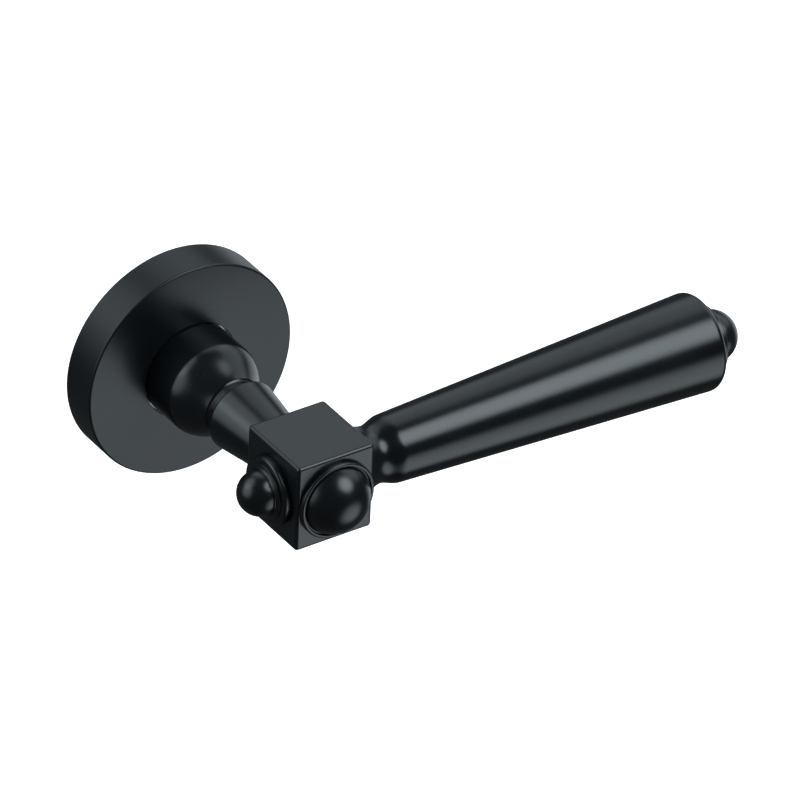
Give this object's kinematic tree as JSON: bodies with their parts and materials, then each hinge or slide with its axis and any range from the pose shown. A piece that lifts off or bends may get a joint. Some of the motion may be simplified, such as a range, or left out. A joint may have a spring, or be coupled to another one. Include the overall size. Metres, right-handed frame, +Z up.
{
  "type": "door lever handle",
  "caption": "Black door lever on a round sprung rose, with a turned neck, a square corner block, a ball finial and a long tapered grip.",
  "frame": {"origin": "centre of the rose's back face, on the spindle axis", "axes": "+Y into the door along the spindle, +X along the grip, +Z up"},
  "size_m": [0.1382, 0.0916, 0.0524],
  "materials": {
    "black_powder_coat": "satin black powder coat with a fine grain",
    "cast_zinc": "bare die-cast zinc, matt",
    "plated_steel": "zinc-plated steel",
    "spring_steel": "dark oiled spring steel",
    "white_acetal": "natural acetal, smooth matt",
    "black_screw": "black oxide"
  },
  "bodies": {
    "rose": {"base_plate": "cast_zinc", "rose_cover": "black_powder_coat", "fixing_posts": "plated_steel", "bearing_bush": "white_acetal", "snap_ring": "spring_steel", "stop_pins": "plated_steel", "return_spring": "spring_steel"},
    "lever": {"lever_neck": "black_powder_coat", "spring_driver": "plated_steel", "thrust_washer": "plated_steel", "circlip": "spring_steel", "spindle": "plated_steel", "spindle_grub_screw": "black_screw", "corner_block": "black_powder_coat", "block_screw": "plated_steel", "front_dome": "black_powder_coat", "side_finial": "black_powder_coat", "grip": "black_powder_coat", "tie_rod": "plated_steel", "end_ring": "black_powder_coat", "end_cap": "black_powder_coat", "grip_grub_screw": "black_screw"}
  },
  "joints": [
    {"name": "lever_turn", "type": "hinge", "parent": "rose", "child": "lever", "pos_m": [0, 0, 0], "axis": [0, 1, 0], "range_deg": [0, 45], "stiffness_Nm_per_rad": 0.8, "springref_deg": -51.57, "deforming": ["return_spring"]}
  ]
}
